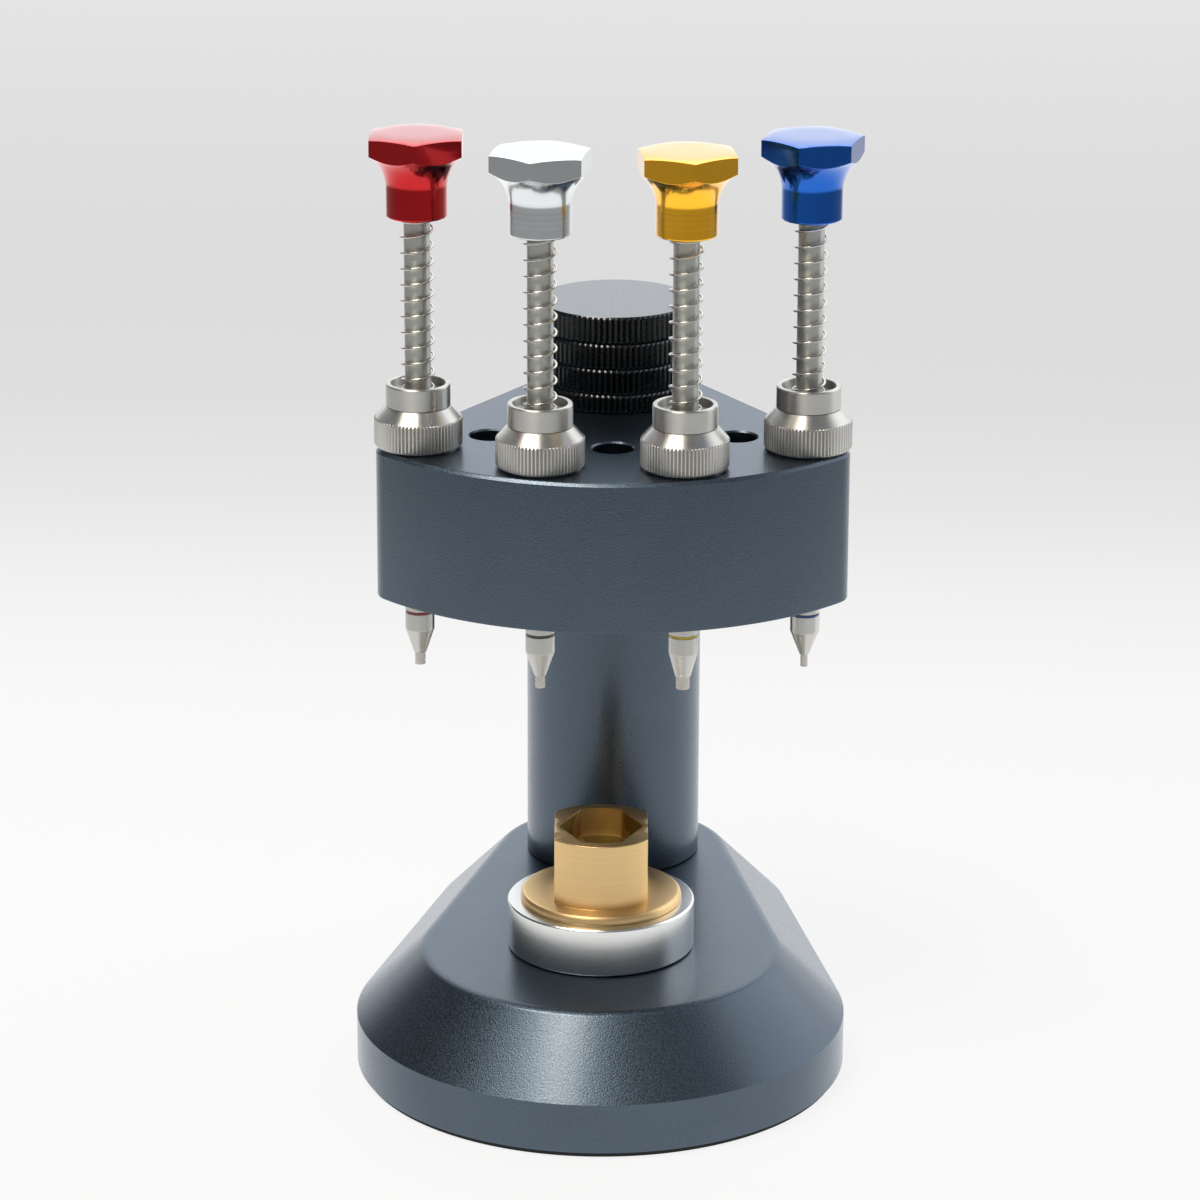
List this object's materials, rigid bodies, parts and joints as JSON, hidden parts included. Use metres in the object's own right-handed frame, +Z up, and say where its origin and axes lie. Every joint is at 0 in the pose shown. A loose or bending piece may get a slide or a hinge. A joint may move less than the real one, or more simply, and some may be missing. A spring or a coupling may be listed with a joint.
{
  "type": "watch hand fitting tool",
  "caption": "Bench press for watch hands: a fan-shaped turning head on a column carries spring-loaded plungers over a turning anvil with a brass movement support.",
  "frame": {"origin": "on the column's axis, at the underside of the base pad", "axes": "+Z up along the column; -Y from the column towards the anvil, the side that the user faces; +X to the user's right"},
  "size_m": [0.0768, 0.1095, 0.1454],
  "materials": {
    "slate_anodised": "bead-blasted, slate blue-grey anodised aluminium, satin",
    "rubber": "black rubber sheet, matte",
    "zinc_steel": "plain machined steel",
    "ground_steel": "ground and polished steel",
    "brass": "turned and milled brass, satin",
    "bronze": "sintered bearing bronze",
    "black_plastic": "black acetal washer",
    "black_anodised": "black anodised aluminium, satin",
    "spring_steel": "bright drawn spring wire",
    "nickel_steel": "turned steel, nickel plated",
    "nose_plastic": "hard pale grey acetal, turned",
    "red_anodised": "bright red anodised aluminium",
    "silver_anodised": "clear anodised aluminium",
    "gold_anodised": "gold anodised aluminium",
    "blue_anodised": "blue anodised aluminium",
    "red_band": "red lacquer ring",
    "silver_band": "dark grey lacquer ring",
    "gold_band": "yellow lacquer ring",
    "blue_band": "blue lacquer ring"
  },
  "bodies": {
    "stand": {"base_block": "slate_anodised", "base_pad": "rubber", "column": "slate_anodised", "column_screw": "zinc_steel", "pivot_stud": "zinc_steel", "thrust_washer": "ground_steel", "anvil_screw": "zinc_steel", "head_washer": "black_plastic"},
    "anvil": {"anvil_disc": "ground_steel"},
    "support": {"movement_support": "brass"},
    "head": {"head_block": "slate_anodised", "head_bush": "bronze", "guide_bushes": "black_anodised", "nut_snap_rings": "zinc_steel", "detent_ball": "ground_steel", "detent_spring": "spring_steel", "detent_screw": "zinc_steel"},
    "lower_ring": {"lower_ring": "black_anodised"},
    "middle_ring": {"middle_ring": "black_anodised"},
    "upper_ring": {"upper_ring": "black_anodised"},
    "clamp_knob": {"clamp_knob": "black_anodised"},
    "red_nut": {"red_nut": "nickel_steel"},
    "red_sleeve": {"red_sleeve": "nickel_steel", "red_spring": "spring_steel"},
    "red_plunger": {"red_knob": "red_anodised", "red_shaft": "ground_steel", "red_tip_holder": "nickel_steel", "red_band": "red_band", "red_nose": "nose_plastic"},
    "silver_nut": {"silver_nut": "nickel_steel"},
    "silver_sleeve": {"silver_sleeve": "nickel_steel", "silver_spring": "spring_steel"},
    "silver_plunger": {"silver_knob": "silver_anodised", "silver_shaft": "ground_steel", "silver_tip_holder": "nickel_steel", "silver_band": "silver_band", "silver_nose": "nose_plastic"},
    "gold_nut": {"gold_nut": "nickel_steel"},
    "gold_sleeve": {"gold_sleeve": "nickel_steel", "gold_spring": "spring_steel"},
    "gold_plunger": {"gold_knob": "gold_anodised", "gold_shaft": "ground_steel", "gold_tip_holder": "nickel_steel", "gold_band": "gold_band", "gold_nose": "nose_plastic"},
    "blue_nut": {"blue_nut": "nickel_steel"},
    "blue_sleeve": {"blue_sleeve": "nickel_steel", "blue_spring": "spring_steel"},
    "blue_plunger": {"blue_knob": "blue_anodised", "blue_shaft": "ground_steel", "blue_tip_holder": "nickel_steel", "blue_band": "blue_band", "blue_nose": "nose_plastic"}
  },
  "joints": [
    {"name": "head_turn", "type": "hinge", "parent": "stand", "child": "head", "pos_m": [0, 0, 0.085], "axis": [0, 0, 1], "continuous": true},
    {"name": "anvil_turn", "type": "hinge", "parent": "stand", "child": "anvil", "pos_m": [0, -0.0423, 0.0232], "axis": [0, 0, 1], "continuous": true},
    {"name": "support_lift", "type": "slide", "parent": "anvil", "child": "support", "axis": [0, 0, 1], "range_m": [0, 0.005]},
    {"name": "lower_ring_turn", "type": "hinge", "parent": "stand", "child": "lower_ring", "pos_m": [0, 0, 0.0978], "axis": [0, 0, 1], "continuous": true},
    {"name": "middle_ring_turn", "type": "hinge", "parent": "stand", "child": "middle_ring", "pos_m": [0, 0, 0.10138], "axis": [0, 0, 1], "continuous": true},
    {"name": "upper_ring_turn", "type": "hinge", "parent": "stand", "child": "upper_ring", "pos_m": [0, 0, 0.10547], "axis": [0, 0, 1], "continuous": true},
    {"name": "clamp_knob_turn", "type": "hinge", "parent": "stand", "child": "clamp_knob", "pos_m": [0, 0, 0.10975], "axis": [0, 0, 1], "continuous": true},
    {"name": "red_nut_turn", "type": "hinge", "parent": "head", "child": "red_nut", "pos_m": [-0.02885, -0.03094, 0.0988], "axis": [0, 0, 1], "range_deg": [-1080, 0]},
    {"name": "red_sleeve_lift", "type": "slide", "parent": "head", "child": "red_sleeve", "axis": [0, 0, 1], "range_m": [0, 0.003]},
    {"name": "red_press", "type": "slide", "parent": "red_sleeve", "child": "red_plunger", "axis": [0, 0, -1], "range_m": [0, 0.0215], "stiffness_N_per_m": 190, "springref_m": -0.005, "deforming": ["red_spring"]},
    {"name": "silver_nut_turn", "type": "hinge", "parent": "head", "child": "silver_nut", "pos_m": [-0.00951, -0.04122, 0.0988], "axis": [0, 0, 1], "range_deg": [-1080, 0]},
    {"name": "silver_sleeve_lift", "type": "slide", "parent": "head", "child": "silver_sleeve", "axis": [0, 0, 1], "range_m": [0, 0.003]},
    {"name": "silver_press", "type": "slide", "parent": "silver_sleeve", "child": "silver_plunger", "axis": [0, 0, -1], "range_m": [0, 0.0215], "stiffness_N_per_m": 190, "springref_m": -0.005, "deforming": ["silver_spring"]},
    {"name": "gold_nut_turn", "type": "hinge", "parent": "head", "child": "gold_nut", "pos_m": [0.01237, -0.04045, 0.0988], "axis": [0, 0, 1], "range_deg": [-1080, 0]},
    {"name": "gold_sleeve_lift", "type": "slide", "parent": "head", "child": "gold_sleeve", "axis": [0, 0, 1], "range_m": [0, 0.003]},
    {"name": "gold_press", "type": "slide", "parent": "gold_sleeve", "child": "gold_plunger", "axis": [0, 0, -1], "range_m": [0, 0.0215], "stiffness_N_per_m": 190, "springref_m": -0.005, "deforming": ["gold_spring"]},
    {"name": "blue_nut_turn", "type": "hinge", "parent": "head", "child": "blue_nut", "pos_m": [0.03094, -0.02885, 0.0988], "axis": [0, 0, 1], "range_deg": [-1080, 0]},
    {"name": "blue_sleeve_lift", "type": "slide", "parent": "head", "child": "blue_sleeve", "axis": [0, 0, 1], "range_m": [0, 0.003]},
    {"name": "blue_press", "type": "slide", "parent": "blue_sleeve", "child": "blue_plunger", "axis": [0, 0, -1], "range_m": [0, 0.0215], "stiffness_N_per_m": 190, "springref_m": -0.005, "deforming": ["blue_spring"]}
  ],
  "couplings": [
    {"joint": "red_nut_turn", "follows": "red_sleeve_lift", "rad_per_m": -6283.2},
    {"joint": "silver_nut_turn", "follows": "silver_sleeve_lift", "rad_per_m": -6283.2},
    {"joint": "gold_nut_turn", "follows": "gold_sleeve_lift", "rad_per_m": -6283.2},
    {"joint": "blue_nut_turn", "follows": "blue_sleeve_lift", "rad_per_m": -6283.2}
  ]
}
